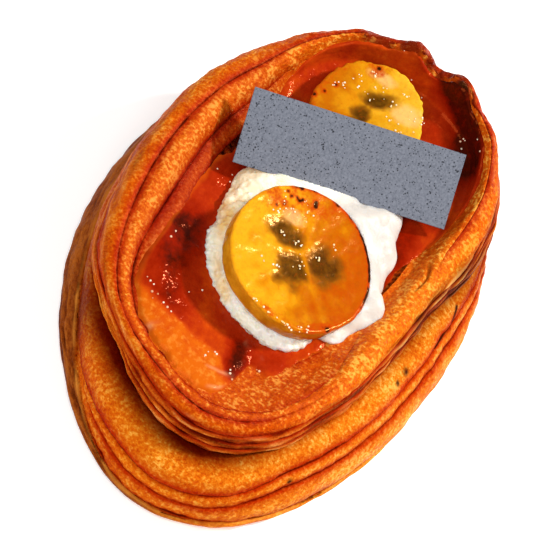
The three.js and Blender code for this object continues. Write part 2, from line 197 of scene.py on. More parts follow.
SMEARS = [
    ([(-33.8, -4.8, 24.8), (-35, -2, 25.2), (-35.6, 1, 25.6)], 0.4),
    ([(-25, -7.5, 24), (-28.4, -8.1, 24.3)], 0.35),
    ([(-24.6, -3, 24), (-25.6, -8, 24)], 0.35),
    ([(-33, 14, 25), (-35, 15.5, 25.5), (-36.5, 16.3, 26)], 0.7),
    ([(-40.2, -1.4, 26), (-39, -3.5, 25.8), (-37.7, -4.7, 25.5)], 0.4),
]
CARAMEL_BEADS = [  # x, y, how many and how far they scatter
    (-27.3, 21, 4, 0.9), (-29.1, 19, 3, 0.8), (-29.8, 16, 3, 0.8), (-33, 3, 3, 0.6),
    (-31.6, 1.2, 2, 0.5), (-20.8, 11.9, 2, 1.5), (-13.4, 23, 3, 1.2), (-28.4, -8, 3, 0.7),
    (-33, -4.5, 3, 0.8), (8, 20, 4, 2), (48, -19, 6, 1.5), (52, 2, 8, 3.5), (50, 10, 4, 2),
]
CARAMEL_BEAD_SIZE = (0.12, 0.32)
EASING_PASSES = 250

# Cream
CREAM_AT = np.array([-0.3, -2.6])
CREAM_RADIUS = 21
CREAM_TOP = 30.6
CREAM_TOP_SHIFT = 6
CREAM_EDGE_HEIGHT = 24.4
CREAM_BOTTOM = 19.5
CREAM_LOBES = [  # bearing, reach and spread
    (-31, 5, 6), (-52, 1, 10), (-78, -2, 12), (-96, 2.2, 7), (-138, -3, 6), (-173, 1.6, 16),
    (99, -1.2, 6), (62, 3.2, 9),
]
STAINS = [  # paths and widths
    ([(18, 10, 29), (15, 16, 28), (8, 18.5, 27), (0, 18, 26)], 4.5),
    ([(0, 15.8, 27.3), (-5.6, 15.2, 27.5), (-11.4, 13.3, 26), (-16.1, 9.8, 25.3), (-19, 6, 25.5)], 1.6),
]
FRAYED_BEARING, FRAYED_SPAN = 150, (-0.2, 0.6)  # the middle of its frayed side, and cosines off it
# Painted shade greying the cream's white on its side towards the key light: its middle, and cosines off
# it
KEY_SIDE_SHADE_BEARING, KEY_SIDE_SHADE_SPAN = -60, (-0.1, 0.8)
CREAM_LUMPS = [(4.5, 0.7, 92), (1.8, 0.25, 93)]  # size across, height and seed of each noise
FRAYED_LUMPS = [(0.8, 0.5, 96)]
# How far it is pressed below a slice's face and the card's middle, and how far within their edges
SLICE_PRESS = dict(below=1.6, margin=0.2)
CARD_PRESS = dict(below=0.6, margin=0.8)
CREAM_AROUND = 520
CREAM_ROWS = 80
CREAM_SIDE_ROWS = 12

# Banana slices: face centre, size, and how far the face tips in degrees
FRONT_SLICE = dict(radius=17.1, thickness=6, at=(-4.1, -3.1, 32.15), near_up=2.2, left_up=11, lobe=0.012)
BACK_SLICE = dict(radius=12.6, thickness=7, at=(37.5, 3, 32), near_up=-2, left_up=-6, lobe=0.03)
SLICE_EDGE = 0.7
SLICE_DISH = 0.5
SIDE_ROUNDING, SIDE_TAPER = 0.35, 0.25
SLICE_LUMPS = [(3, 0.08, 2), (1.2, 0.04, 3)]  # size across, height and seed of each noise
RAY_HEIGHT, SEED_DEPTH = 0.04, 0.25
PALE_SHARE, PALE_WIDTH = 0.75, 0.7  # of the lines between the seeds
FLESH_RUN = (-0.3, 0.95)  # the direction towards the slice's left side, along which its flesh colour runs
# On each slice's face, in its own frame: its flesh from its right side to its left, patches of seed
# and of dew, pale partly as their colour and partly as painted sheen (middle, half sizes, turn), pale
# lines between the seeds, scorched rim (bearing, spread, start on the radius, weight), spots (middle,
# size) and beads (middle, how many, scatters)
FRONT_DETAILS = dict(
    flesh=[(0.12, "#b24c01"), (0.36, "#b96202"), (0.56, "#cc8206"), (0.8, "#e19c16")],
    ragged=0.15,
    seeds=[(2.4, 6.2, 3, 5.6, 0), (2.2, -5, 4.8, 4.8, 0), (-3.9, 0.6, 4.8, 4.6, 0)],
    pale=[[(1.4, 0.4), (8, 0.4)], [(1.4, 0.4), (-1.7, 6.6)], [(1.4, 0.4), (-3.6, -5)]],
    dew_and_sheen=[(7, 6.5, 2, 3.2, 20)],
    burnt=[
        (33, 22, 0.5, 0.8), (-30, 26, 0.92, 1.3), (-65, 24, 0.93, 1.2), (-135, 14, 0.8, 0.6),
        (178, 12, 0.85, 0.4),
    ],
    spots=[
        (-14.2, -11.9, 0.8), (-10.4, -13.4, 0.7), (13.7, 4.2, 0.6), (12.8, 3.8, 0.4), (11.2, 7.5, 0.6),
        (12, 7, 0.4), (10.7, 9.6, 0.5), (11.2, 10.8, 0.4), (11.9, 12.5, 0.3), (14.1, 8.5, 0.5),
        (6.6, 11.2, 0.3), (11.5, 8.4, 0.4),
    ],
    beads=[
        (-16, 3, 4, 0.2, 1), (-16.2, -0.5, 4, 0.2, 1), (-16.1, -4.5, 8, 0.2, 1.2),
        (-14.8, -7.8, 4, 0.4, 0.5), (-13.3, -9.7, 4, 0.4, 0.4), (2, 7.4, 5, 0.4, 0.7),
        (2.5, 2.6, 7, 0.4, 0.8), (2.9, -3, 4, 0.6, 0.6), (-1.6, -0.6, 9, 0.9, 1.2),
        (-5.3, 3.4, 3, 0.4, 0.3), (-6.4, 6.4, 4, 0.4, 0.8), (7.6, 7.5, 14, 1, 2),
        (11.5, 6, 8, 1, 2.5), (6, 11, 4, 0.8, 0.8), (7.5, -4.5, 3, 0.6, 0.6),
    ],
)
BACK_DETAILS = dict(
    flesh=[(0.15, "#e2a828"), (0.42, "#d29412"), (0.65, "#cc860c"), (0.9, "#b86404")],
    ragged=0.5,
    seeds=[(3.4, -0.5, 4.6, 2.4, -63), (-1.6, 1.4, 2.8, 2.6, 0)],
    pale=[],
    dew_and_sheen=[(4, -8, 3, 4, 0), (9, 1, 2, 4, 0)],
    burnt=[(20, 9, 0.55, 0.5), (100, 16, 0.8, 0.35), (60, 10, 0.85, 0.3)],
    spots=[(1.3, 9.2, 0.6), (-1.6, 10.4, 0.5), (-3.6, 12, 0.6), (10.6, 3.2, 0.5)],
    beads=[
        (9, 3, 5, 0.6, 0.8), (8.5, -5.3, 6, 0.6, 1), (4.2, -10, 9, 0.9, 1.2), (0.7, -5.8, 4, 0.5, 1.2),
        (3.6, 5, 4, 0.6, 0.6), (3, 2, 5, 0.6, 0.8), (7, 0.6, 5, 0.6, 0.8), (1.3, 9.2, 3, 0.4, 0.4),
        (6, 6, 6, 0.8, 1), (-1, -8.5, 6, 0.8, 1), (5.5, -3, 6, 0.8, 1.2), (2.5, 8, 5, 1, 0.8),
    ],
)
SLICE_BEAD_SIZE = (0.1, 0.28)
SLICE_AROUND = 260
FACE_ROWS = 60
EDGE_ROWS = 6
SIDE_ROWS = 26
BEAD_AROUND, BEAD_ROWS, BEAD_FLATNESS = 10, 5, 0.7

# Card
CARD_LENGTH = 49.1
CARD_WIDTH = 17.1
CARD_THICKNESS = 0.45
CARD_AT = (24.1, 0.55, 32)
CARD_TURN, CARD_LEAN = 19.1, 26.6
CARD_SOFTENING = 0.06  # of its edges
CARD_SIDE_COLUMNS = 60

# The photograph's camera, in degrees and millimetres
VIEW_ELEVATION = 58
VIEW_ROLL = 34
VIEW_DISTANCE = 1300
VIEW_WIDTH = 123.2  # seen across the image at the target
TARGET_RIGHT, TARGET_UP = 5.5, 5.9  # from the origin, across the image
TARGET_OFFSET = (-1.2, -0.4, 0)
SENSOR_WIDTH = 36

# Light: bearings and elevations in degrees, metres and watts
KEY = dict(bearing=-49, elevation=46, distance=1.2, size=0.12, power=15.8, tint=(1, 0.97, 0.93))
FILL = dict(bearing=165, elevation=58, distance=1.2, size=0.9, power=10.8, tint=(1, 1, 1))
AMBIENT = 0.28
FLOOR_SIZE, FLOOR_GLOW = 6, 0.3


# Arithmetic

def mix(a, b, share):
    return a + (b - a) * share


def bearings(count):
    """Angles of a number of columns round a piece."""
    return np.arange(count) / count * TURN


def steps(count):
    """Shares of the way along a number of rows, from 0 to one step before 1."""
    return (np.arange(count) / count)[:, None]


def polar(r, angle, z):
    return np.stack([r * np.cos(angle), r * np.sin(angle), z], -1)


def smoothstep(x, low, high):
    t = np.clip((x - low) / (high - low), 0, 1)
    return t * t * (3 - 2 * t)


def off_bearing(angle, bearing):
    off = angle - math.radians(bearing)
    return np.arctan2(np.sin(off), np.cos(off))


def bump(angle, bearing, spread):
    return np.exp(-((off_bearing(angle, bearing) / math.radians(spread)) ** 2) / 2)


def facing(angle, bearing, span):
    """From 0 to 1 towards a bearing, over a span of cosines of the angle off it."""
    return smoothstep(np.cos(angle - math.radians(bearing)), *span)


def sum_of_bumps(angle, bumps):
    return sum(reach * bump(angle, bearing, spread) for bearing, reach, spread in bumps)


def around(size, angle, turn=EVEN_TURN):
    """A size that changes round the oval, from its values at the four sides."""
    if not isinstance(size, dict):
        return np.full_like(angle, size)
    c = np.cos(angle)
    on_left = np.sin(angle) > 0
    side = np.where(on_left, size["left"], size["right"])
    low = np.where(on_left, turn["left"][0], turn["right"][0])
    high = np.where(on_left, turn["left"][1], turn["right"][1])
    ahead = smoothstep(c, low, high)
    behind = smoothstep(-c, *turn["near"]) if "near" in turn else c * c
    return np.where(c > 0, mix(side, size["far"], ahead), mix(side, size["near"], behind))


def near_path(points, path, width):
    """1 along a path of points, fading to 0 over a width."""
    nearest = np.full(points.shape[:-1], 1e9)
    for a, b in zip(np.array(path[:-1], float), np.array(path[1:], float)):
        t = np.clip((points - a) @ (b - a) / max((b - a) @ (b - a), 1e-9), 0, 1)
        nearest = np.minimum(nearest, ((points - a - t[..., None] * (b - a)) ** 2).sum(-1))
    return np.exp(-nearest / width**2)


def near_paths(points, paths):
    return sum(near_path(points, path, width) for path, width in paths)


def near_spot(points, spot, size):
    return near_path(points, [spot, spot], size)


# Seeded noise on arrays of points

def hashed(cells, seed):
    """A number from 0 to 1 for each whole-numbered cell."""
    x, y, z = np.moveaxis(cells, -1, 0)
    mixed = (x * 73856093) ^ (y * 19349663) ^ (z * 83492791) ^ (seed * 668265263)
    mixed = (mixed ^ (mixed >> 13)) * 1274126177
    return ((mixed ^ (mixed >> 16)) & 0xFFFFF) / 0xFFFFF


def noise(points, size, seed):
    """Smooth noise from -1 to 1, whose features are about a size across."""
    scaled = np.asarray(points) / size
    cell = np.floor(scaled).astype(np.int64)
    t = scaled - cell
    t = t * t * (3 - 2 * t)
    total = 0
    for corner in np.ndindex(2, 2, 2):
        weight = np.prod(np.where(corner, t, 1 - t), axis=-1)
        total = total + weight * hashed(cell + np.array(corner), seed)
    return 2 * total - 1


def noises(points, kinds, seed=0):
    """A sum of noises, each with its size across, its height and what it adds to the seed."""
    return sum(height * noise(points, size, seed + k) for size, height, k in kinds)


def rough(points, size, seed, octaves=3):
    """Noise with finer and weaker noise on it."""
    return sum(noise(points, size / 2**k, seed + k) / 2**k for k in range(octaves)) / 1.5


def blisters(points, size, seed):
    """A foam of cells: 1 in the middle of each, falling towards its walls."""
    scaled = points / size
    cell = np.floor(scaled).astype(np.int64)
    nearest = np.full(points.shape[:-1], 9.0)
    for corner in np.ndindex(3, 3, 3):
        there = cell + np.array(corner) - 1
        middle = there + np.stack([hashed(there, seed + k) for k in range(3)], -1)
        nearest = np.minimum(nearest, ((middle - scaled) ** 2).sum(-1))
    return 1 - np.clip(np.sqrt(nearest), 0, 1)


def on_circle(angle, size, seed):
    """Noise round a closed loop, with features a size across in degrees."""
    r = 180 / math.pi / size
    return noise(polar(r, angle, 0 * angle), 1, seed)


# Meshes

def ring_faces(rows, columns):
    """Quads over rows of points that close round, from the lowest row up."""
    i, j = np.meshgrid(np.arange(rows - 1), np.arange(columns), indexing="ij")
    a = i * columns + j
    b = i * columns + (j + 1) % columns
    return np.stack([a, b, b + columns, a + columns], -1).reshape(-1, 4).tolist()


def closed_faces(rows, columns):
    """Faces over rows that close round, with a pole below the first row and another above the last."""
    faces = ring_faces(rows, columns)
    below, above = rows * columns, rows * columns + 1
    last = (rows - 1) * columns
    for j in range(columns):
        after = (j + 1) % columns
        faces.append([below, after, j])
        faces.append([last + j, last + after, above])
    return faces


def row_normals(points):
    """Outward normals of a grid of rows that close round."""
    along = np.roll(points, -1, 1) - np.roll(points, 1, 1)
    up = np.gradient(points, axis=0)
    normal = np.cross(along, up)
    return normal / np.maximum(np.linalg.norm(normal, axis=-1, keepdims=True), 1e-9)


def with_poles(grid, below, above):
    """A grid's values as one list, followed by the values at its two poles."""
    flat = grid.reshape(-1, *grid.shape[2:])
    return np.concatenate([flat, [below], [above]])


def make_piece(name, points, faces, finish, node, marks):
    """A smooth mesh in place of any node, with a number from 0 to 1 at each point for each mark."""
    mesh = bpy.data.meshes.new(name)
    mesh.from_pydata((points * MM).tolist(), [], faces)
    mesh.polygons.foreach_set("use_smooth", np.ones(len(mesh.polygons), bool))
    for mark, values in marks.items():
        layer = mesh.attributes.new(mark, "FLOAT", "POINT")
        layer.data.foreach_set("value", np.asarray(values, np.float32))
    mesh.materials.append(finish)
    piece = bpy.data.objects.new(name, mesh)
    bpy.context.scene.collection.objects.link(piece)
    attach(piece, "root")
    if node:
        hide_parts(node)
    return piece


# Shader helpers

def colour(code):
    """A colour written as #rrggbb, in the linear values that shaders take."""
    parts = [int(code[i : i + 2], 16) / 255 for i in (1, 3, 5)]
    linear = [c / 12.92 if c <= 0.04045 else ((c + 0.055) / 1.055) ** 2.4 for c in parts]
    return (*linear, 1)


class Finish:
    """A node material, built up step by step on one Principled shader."""

    def __init__(self, name, **sockets):
        self.material = bpy.data.materials.new(name)
        self.material.use_nodes = True
        self.tree = self.material.node_tree
        self.shader = self.tree.nodes["Principled BSDF"]
        self.place = self.add("ShaderNodeTexCoord").outputs["Object"]
        for socket, value in sockets.items():
            self.set(socket.replace("_", " "), value)

    def add(self, kind, **settings):
        node = self.tree.nodes.new(kind)
        for key, value in settings.items():
            setattr(node, key, value)
        return node

    def put(self, socket, value):
        if isinstance(value, bpy.types.NodeSocket):
            self.tree.links.new(value, socket)
        else:
            socket.default_value = value

    def set(self, name, value):
        self.put(self.shader.inputs[name], value)

    def soften(self, weight, radius):
        """Lets light through the surface, over a radius in metres for each of red, green and blue."""
        self.set("Subsurface Weight", weight)
        self.set("Subsurface Scale", 1.0)
        self.set("Subsurface Radius", radius)

    def mark(self, name):
        return self.add("ShaderNodeAttribute", attribute_name=name).outputs["Fac"]

    def weigh(self, *parts, base=0.0):
        """The sum of a base and of values, each times its weight."""
        total = base
        for weight, value in parts:
            node = self.add("ShaderNodeMath", operation="MULTIPLY_ADD")
            for socket, x in zip(node.inputs, (value, weight, total)):
                self.put(socket, x)
            total = node.outputs[0]
        return total

    def spread(self, value, low, high, to_low=0.0, to_high=1.0):
        node = self.add("ShaderNodeMapRange")
        for socket, x in zip(node.inputs[:5], (value, low, high, to_low, to_high)):
            self.put(socket, x)
        return node.outputs[0]

    def texture(self, kind, size, stretch=(1, 1, 1), **inputs):
        """A texture with features about a size across, in millimetres."""
        place = self.add("ShaderNodeMapping")
        place.inputs["Scale"].default_value = [s / (size * MM) for s in stretch]
        self.put(place.inputs["Vector"], self.place)
        node = self.add(kind)
        self.put(node.inputs["Vector"], place.outputs[0])
        for name, value in dict(inputs, Scale=1).items():
            node.inputs[name].default_value = value
        return node

    def noise(self, size, detail=2.0, roughness=0.5, stretch=(1, 1, 1)):
        """Noise over about 0.25 to 0.75."""
        inputs = dict(Detail=detail, Roughness=roughness)
        return self.texture("ShaderNodeTexNoise", size, stretch, **inputs).outputs["Fac"]

    def cells(self, size):
        """Distance from the middle of the nearest cell of a foam, in cells."""
        return self.texture("ShaderNodeTexVoronoi", size).outputs["Distance"]

    def broken(self, mark, weight, noise):
        """A mark, made uneven by a noise."""
        return self.weigh((1.0, self.mark(mark)), (weight, noise), base=-weight / 2)

    def blend(self, share, a, b, how="MIX"):
        node = self.add("ShaderNodeMix", data_type="RGBA", blend_type=how)
        self.put(node.inputs[0], share)
        self.put(node.inputs[6], a)
        self.put(node.inputs[7], b)
        return node.outputs[2]

    def coat(self, tone, value, code, low=0.0, high=1.0, most=1.0, how="MIX"):
        """A tone under a colour, as far as a value or a named mark rises from a low to a high."""
        value = self.mark(value) if isinstance(value, str) else value
        return self.blend(self.spread(value, low, high, 0, most), tone, colour(code), how)

    def ramp(self, value, *stops):
        node = self.add("ShaderNodeValToRGB")
        elements = node.color_ramp.elements
        while len(elements) < len(stops):
            elements.new(0.5)
        for element, (position, code) in zip(elements, stops):
            element.position = position
            element.color = colour(code)
        self.put(node.inputs[0], value)
        return node.outputs[0]

    def bump(self, height, depth, before=None):
        """Bump of a height from 0 to 1 over a depth in millimetres, on any bump that came before."""
        node = self.add("ShaderNodeBump")
        node.inputs["Distance"].default_value = depth * MM
        self.put(node.inputs["Height"], height)
        if before:
            self.put(node.inputs["Normal"], before)
        return node.outputs[0]

    def done(self, tone, normal=None):
        """The material, with its colour and any bump."""
        self.set("Base Color", tone)
        if normal:
            self.set("Normal", normal)
        return self.material


# The pastry

def oval(angle):
    c = np.cos(angle)
    x = LENGTH / 2 * c
    y = WIDTH / 2 * np.sin(angle) * (1 + EGG * c) - BOW * c * c
    size = np.hypot(x, y)
    grown = 1 + sum_of_bumps(angle, SHOULDERS) / size
    return np.stack([x * grown, y * grown], -1)


OVAL_SAMPLES = oval(bearings(72))
OVAL_CENTRE = (OVAL_SAMPLES.min(0) + OVAL_SAMPLES.max(0)) / 2


def outline(angle):
    return oval(angle) - OVAL_CENTRE


def reach(angle):
    return np.linalg.norm(outline(angle), axis=-1)


def place(angle, inset, height):
    """Points at insets from the outline towards the middle, and at heights."""
    flat = outline(angle) * (1 - inset / reach(angle))[..., None]
    return np.concatenate([flat, np.broadcast_to(height, inset.shape)[..., None]], -1)


def crest(angle):
    crest_off = off_bearing(angle, LIP_WAVE["crest"])
    wave = LIP_WAVE["height"] * np.cos(TURN * crest_off / math.radians(LIP_WAVE["pitch"]))
    rise = LIP["rise"] * bump(angle, LIP["bearing"], LIP["spread"])
    lip = rise + wave * bump(angle, LIP["bearing"], LIP_WAVE["spread"])
    height = around(CREST_HEIGHT, angle) + sum_of_bumps(angle, CREST_SAG) + lip
    return around(CREST_INSET, angle, RIM_TURN) + sum_of_bumps(angle, CREST_BULGE), height


def wall_top(angle):
    return around(WALL_INSET, angle), around(WALL_TOP, angle, BASE_TURN)


def shelf(angle):
    inset = around(SHELF_INSET, angle, BASE_TURN) + sum_of_bumps(angle, SHELF_BULGE)
    return inset, around(SHELF_HEIGHT, angle)


def well(angle):
    return around(WELL_INSET, angle, RIM_TURN), around(WELL_HEIGHT, angle)


def dome(start, end, f):
    """A curve between two corners of the section that starts upright, with its direction."""
    a = f * math.pi / 2
    inset = mix(start[0], end[0], 1 - np.cos(a))
    height = mix(start[1], end[1], np.sin(a))
    return inset, height, (end[0] - start[0]) * np.sin(a), (end[1] - start[1]) * np.cos(a)


def slope(start, end, f):
    """A curve between two corners of the section that is level at both, with its direction."""
    height = mix(start[1], end[1], 0.5 - 0.5 * np.cos(f * math.pi))
    steep = (end[1] - start[1]) * math.pi / 2 * np.sin(f * math.pi)
    return mix(start[0], end[0], f), height, (end[0] - start[0]) + 0 * f, steep


def lifted(curve, f, lift):
    """Points of a curve, moved along its outward normal."""
    inset, height, run, rise = curve(f)
    size = np.maximum(np.hypot(run, rise), 1e-9)
    return inset - lift * rise / size, height + lift * run / size


def layer_ends(curve, layers, angle, turn):
    """Where each layer ends along its stretch: at a crease that wanders, and the last at 1."""
    (d0, z0), (d1, z1) = curve(np.zeros_like(angle))[:2], curve(np.ones_like(angle))[:2]
    length = np.hypot(d1 - d0, z1 - z0)
    ends = []
    for k, layer in enumerate(layers[:-1]):
        stray = on_circle(angle, 24, 40 + k) + 0.4 * on_circle(angle, 8, 50 + k)
        share = around(layer["end"], angle, turn)
        ends.append(share + np.minimum(CREASE_WANDER / length, 0.25 * share) * stray)
    return ends + [np.ones_like(angle)]


def layered(curve, layers, angle, f, turn=EVEN_TURN, lift=0.0):
    """Points above shares along a stretch of puffed layers, and how far each is into a deep crease."""
    puffed = np.zeros_like(f)
    crease = np.zeros_like(f)
    start = np.zeros_like(angle)
    for k, (layer, end) in enumerate(zip(layers, layer_ends(curve, layers, angle, turn))):
        inside = (f >= start) & (f <= end)
        across = np.clip((f - start) / (end - start), 0, 1)
        (d0, z0), (d1, z1) = curve(start)[:2], curve(end)[:2]
        width = np.hypot(d1 - d0, z1 - z0)
        uneven = 1 + PUFF_UNEVENNESS * on_circle(angle, 11, 60 + k)
        proud = around(layer["puff"], angle) * uneven * width
        puffed = np.where(inside, proud * np.sin(math.pi * across) ** PUFF_ROUNDNESS, puffed)
        fade = np.minimum(CREASE_SPREAD, 0.3 * width)
        sunk = np.exp(-width * np.minimum(across, 1 - across) / fade) * smoothstep(proud, 0.1, 0.6)
        crease = np.where(inside, sunk, crease)
        start = end
    inset, height = lifted(curve, f, puffed + lift)
    return inset, height, crease


def lower_curve(angle):
    inset, height = wall_top(angle)
    return lambda f: dome((inset + LEDGE, height), shelf(angle), f)


def upper_curve(angle):
    inset, height = shelf(angle)
    return lambda f: dome((inset - LAP, height + LAP_HEIGHT), crest(angle), f)


def inner_curve(angle):
    return lambda f: slope(crest(angle), well(angle), f)


def floor_crust(angle, f):
    inset, height = well(angle)
    return mix(inset, reach(angle), f), mix(FLOOR_HEIGHT, height, (1 - f) ** 2)


def eased_rows(curve, layers, angle, turn=EVEN_TURN):
    """Shares along a layered stretch for its rows of points, closer together at the creases."""
    shares = []
    start = np.zeros_like(angle)
    for layer, end in zip(layers, layer_ends(curve, layers, angle, turn)):
        for n in range(layer["rows"]):
            shares.append(mix(start, end, (1 - math.cos(math.pi * n / layer["rows"])) / 2))
        start = end
    return np.stack(shares)


def stretch_of(curve, layers, angle, turn=EVEN_TURN):
    """Insets, heights and creases of a layered stretch's rows."""
    return layered(curve, layers, angle, eased_rows(curve, layers, angle, turn), turn)


def pastry_section(angle):
    """Which stretch each row belongs to, and the insets, heights and creases of every row."""
    rows = []

    def add(stretch, inset, height, crease=0.0):
        rows.append((stretch, *np.broadcast_arrays(inset, height, crease, angle[None])[:3]))

    quarter = steps(FOOT_ROWS) * math.pi / 2
    add("foot", FOOT_INSET * (1 - np.sin(quarter)), FOOT_HEIGHT * (1 - np.cos(quarter)))
    wall_inset, wall_height = wall_top(angle)
    t = np.linspace(0, 1, WALL_ROWS)[:, None]
    belly = 4 * WALL_BELLY - 1
    add("wall", wall_inset * (belly * t + (1 - belly) * t * t), mix(FOOT_HEIGHT, wall_height, t))
    add("lower", *stretch_of(lower_curve(angle), LOWER_LAYERS, angle, LOWER_TURN))
    shelf_inset, shelf_height = shelf(angle)
    t = (np.arange(1, TUCK_ROWS + 1) / TUCK_ROWS)[:, None]
    # The tuck under the upper tier's lap counts as a full crease, so it is painted in shade.
    add("tuck", shelf_inset + TUCK * t, shelf_height + LAP_HEIGHT / 4 * t, 1.0)
    add("upper", *stretch_of(upper_curve(angle), UPPER_LAYERS, angle))
    add("inner", *stretch_of(inner_curve(angle), INNER_LAYERS, angle, INNER_TURN))
    add("floor", *floor_crust(angle, steps(FLOOR_ROWS)))
    stretch = np.concatenate([[name] * len(inset) for name, inset, _, _ in rows])
    inset, height, crease = (np.concatenate([row[k] for row in rows]) for k in (1, 2, 3))
    return stretch, inset, height, crease


def strata(along, across, seed):
    """Noise drawn out along the crust, as its layers are."""
    at = np.stack([along / STRATA_LENGTH, across / STRATA_SIZE, 0 * along], -1)
    return noise(at, 1, seed) + 0.6 * noise(2 * at, 1, seed + 1)


def crust_relief(points, layers, on_wall):
    """How far the crust stands out from its smooth form."""
    blister = BLISTER_HEIGHT * blisters(points, BLISTER_SIZE, 3) * (1 - 0.6 * on_wall)
    relief = noises(points, SWELLS) + blister + STRATA_HEIGHT * layers * (0.15 + on_wall)
    return relief - CRACK_DEPTH * near_path(points, CRACK_PATH, CRACK_WIDTH)


def lip_crinkle(points, angle):
    """How far the torn lip and the caramel on it are crumpled."""
    return CRINKLE_HEIGHT * bump(angle, LIP["bearing"], CRINKLE_SPREAD) * rough(points, CRINKLE_SIZE, 8)


def crust_scorch(points, layers):
    """Where the crust is scorched: along paths, broken up by its layers, and in spots."""
    scorch = near_paths(points, SCORCHED) * np.clip(0.75 + 0.9 * layers, 0, 1)
    scorch = scorch + CRACK_SCORCH * near_path(points, CRACK_PATH, CRACK_WIDTH)
    return scorch + sum(near_spot(points, spot, size) for spot, size in SPOTS)


def crust_bake_and_light(points, angle, low, high):
    """How brown the crust is, from 0 where it is palest to 1: on its lower tier, and above it. Its bumps
    by bearing are partly baked colour and partly painted light and shade.
    """
    below = sum_of_bumps(angle, LOWER_BAKE_AND_LIGHT) * low
    above = sum_of_bumps(angle, UPPER_BAKE_AND_LIGHT) * high
    return 0.5 + below + above + 0.15 * rough(points, 9, 30)


def make_pastry():
    angle = bearings(AROUND)
    stretch, inset, height, crease = pastry_section(angle)
    grid = np.broadcast_to(angle, inset.shape)
    smooth = place(grid, inset, height)
    normals = row_normals(smooth)
    step = np.linalg.norm(np.diff(smooth, axis=0), axis=-1)
    across = np.concatenate([np.zeros((1, AROUND)), np.cumsum(step, axis=0)])
    layers = strata(grid * LENGTH / 2, across, 5)

    def on(*names):
        return np.isin(stretch, names)[:, None] + 0 * grid

    # How far up the upper tier each point is, how far in past the crest, and down the well's slope
    crest_inset, shelf_inset = crest(grid)[0], shelf(grid)[0]
    up = (inset - shelf_inset + LAP) / (crest_inset - shelf_inset + LAP)
    past = inset - crest_inset
    down = past / (well(grid)[0] - crest_inset)

    def about_crest(begins, fades):
        return on("upper") * smoothstep(up, *begins) + on("inner") * (1 - smoothstep(down, *fades))

    thin = on("upper") * (1 - smoothstep(up, *THIN_FADES)) * sum_of_bumps(grid, THIN_LAYERS)
    relief = crust_relief(smooth, layers, np.clip(on("foot", "wall") + thin, 0, 1))
    points = smooth + normals * (relief * smoothstep(smooth[..., 2], 0.2, 2.5))[..., None]
    points[..., 2] += lip_crinkle(points, grid) * about_crest(CRINKLE_BEGINS, CRINKLE_FADES)
    crumbs = CRUMB_HEIGHT * about_crest(CRUMBS_BEGIN, CRUMBS_FADE)
    crumbs = crumbs * bump(grid, LIP["bearing"], CRUMB_SPREAD) * rough(points, CRUMB_SIZE, 34)
    points = points + normals * crumbs[..., None]

    burnt = on("upper") * mix(0.3, 1, crease) * (1 - smoothstep(up, *BURNT_FADES))
    burnt = burnt * sum_of_bumps(grid, BURNT_CREASES) * (0.8 + 0.6 * noise(smooth, 4, 33))
    torn = facing(grid, TORN_BEARING, TORN_SPAN)
    torn = torn * (on("inner", "floor") + on("upper") * smoothstep(up, 0.15, 0.5))
    under = on("lower") * smoothstep(inset, *(shelf_inset - out for out in UNDER_SPAN))
    film, side_film = (weight * smoothstep(past, low, high) for low, high, weight in GLAZE)
    edge = 0
    for name, row in (("wall", -1), ("upper", 0)):
        start = across[np.flatnonzero(stretch == name)[row]]
        edge = edge + np.exp(-(((across - start) / EDGE_WIDTH) ** 2))
    marks = dict(
        crease=crease,
        under=under * sum_of_bumps(grid, UNDER_TIER),
        wall=on("foot", "wall") * facing(grid, SHADED_BEARING, SHADED_SPAN),
        thin=thin,
        fibre=0.5 + 0.4 * layers,
        edge=edge * (0.4 + 0.8 * rough(points, 5, 31)),
        satin=1 - on("inner", "floor") - on("upper") * smoothstep(up, 0.5, 1),
        glaze=on("inner", "floor") * (film + side_film * bump(grid, *GLAZED_SIDE)),
        lip=torn * (0.88 + 0.9 * noise(smooth, 2.2, 32)),
        scorch=np.clip(crust_scorch(smooth, layers), 0, 1) + burnt,
        bake_and_light=crust_bake_and_light(points, grid, on("foot", "wall", "lower"), on("upper", "inner")),
    )
    marks = {name: with_poles(np.clip(values, 0, 1), 0, 0) for name, values in marks.items()}
    faces = closed_faces(*inset.shape)
    points = with_poles(points, (0, 0, 0), (0, 0, FLOOR_HEIGHT))
    make_piece("crust", points, faces, crust_finish(), "pastry", marks)


